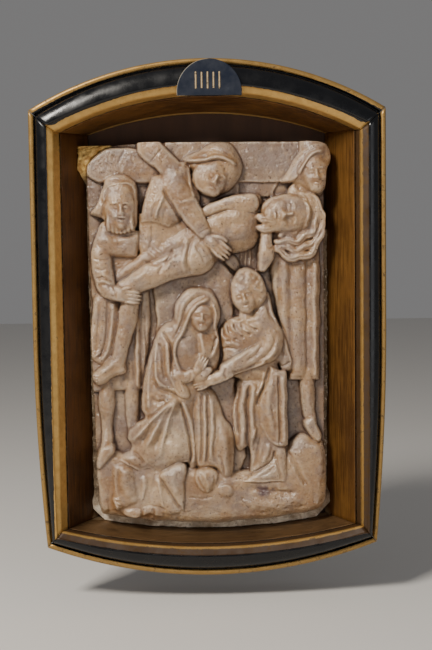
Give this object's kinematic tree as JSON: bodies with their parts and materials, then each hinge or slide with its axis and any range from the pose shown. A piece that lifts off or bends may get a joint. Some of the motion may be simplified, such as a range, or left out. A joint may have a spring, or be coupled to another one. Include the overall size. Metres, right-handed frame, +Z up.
{
  "type": "framed stone relief panel",
  "caption": "Carved alabaster relief panel of a descent from the cross, bedded in a deep splayed gilt box with an ebonised moulding bowed at top and foot.",
  "frame": {"origin": "on the flat back of the box, at mid-width, halfway between the frame's upper and lower corners", "axes": "+X to the viewer's right, +Z up, the carving faces -Y and the wall is towards +Y"},
  "size_m": [0.336, 0.0718, 0.4917],
  "materials": {
    "relief_panel": "carved alabaster, aged and polished, ochre stains",
    "plaster_bedding": "rough grey-white plaster, gilded in one corner",
    "back_board": "dark aged softwood",
    "number_tablet": "black paint with gilt strokes, worn edge",
    "lining_left": "aged gilding over brown bole, rubbed, streaked",
    "moulding_left": "ebonised, polished, gilt bead and fillet, worn",
    "lining_right": "aged gilding over brown bole, rubbed, streaked",
    "moulding_right": "ebonised, polished, gilt bead and fillet, worn",
    "lining_top": "aged gilding over brown bole, rubbed, streaked",
    "moulding_top": "ebonised, polished, gilt bead and fillet, worn",
    "lining_bottom": "aged gilding over brown bole, rubbed, streaked",
    "moulding_bottom": "ebonised, polished, gilt bead and fillet, worn"
  },
  "bodies": {
    "root": {"relief_panel": "relief_panel", "plaster_bedding": "plaster_bedding", "back_board": "back_board", "number_tablet": "number_tablet", "lining_left": "lining_left", "moulding_left": "moulding_left", "lining_right": "lining_right", "moulding_right": "moulding_right", "lining_top": "lining_top", "moulding_top": "moulding_top", "lining_bottom": "lining_bottom", "moulding_bottom": "moulding_bottom"}
  },
  "joints": []
}
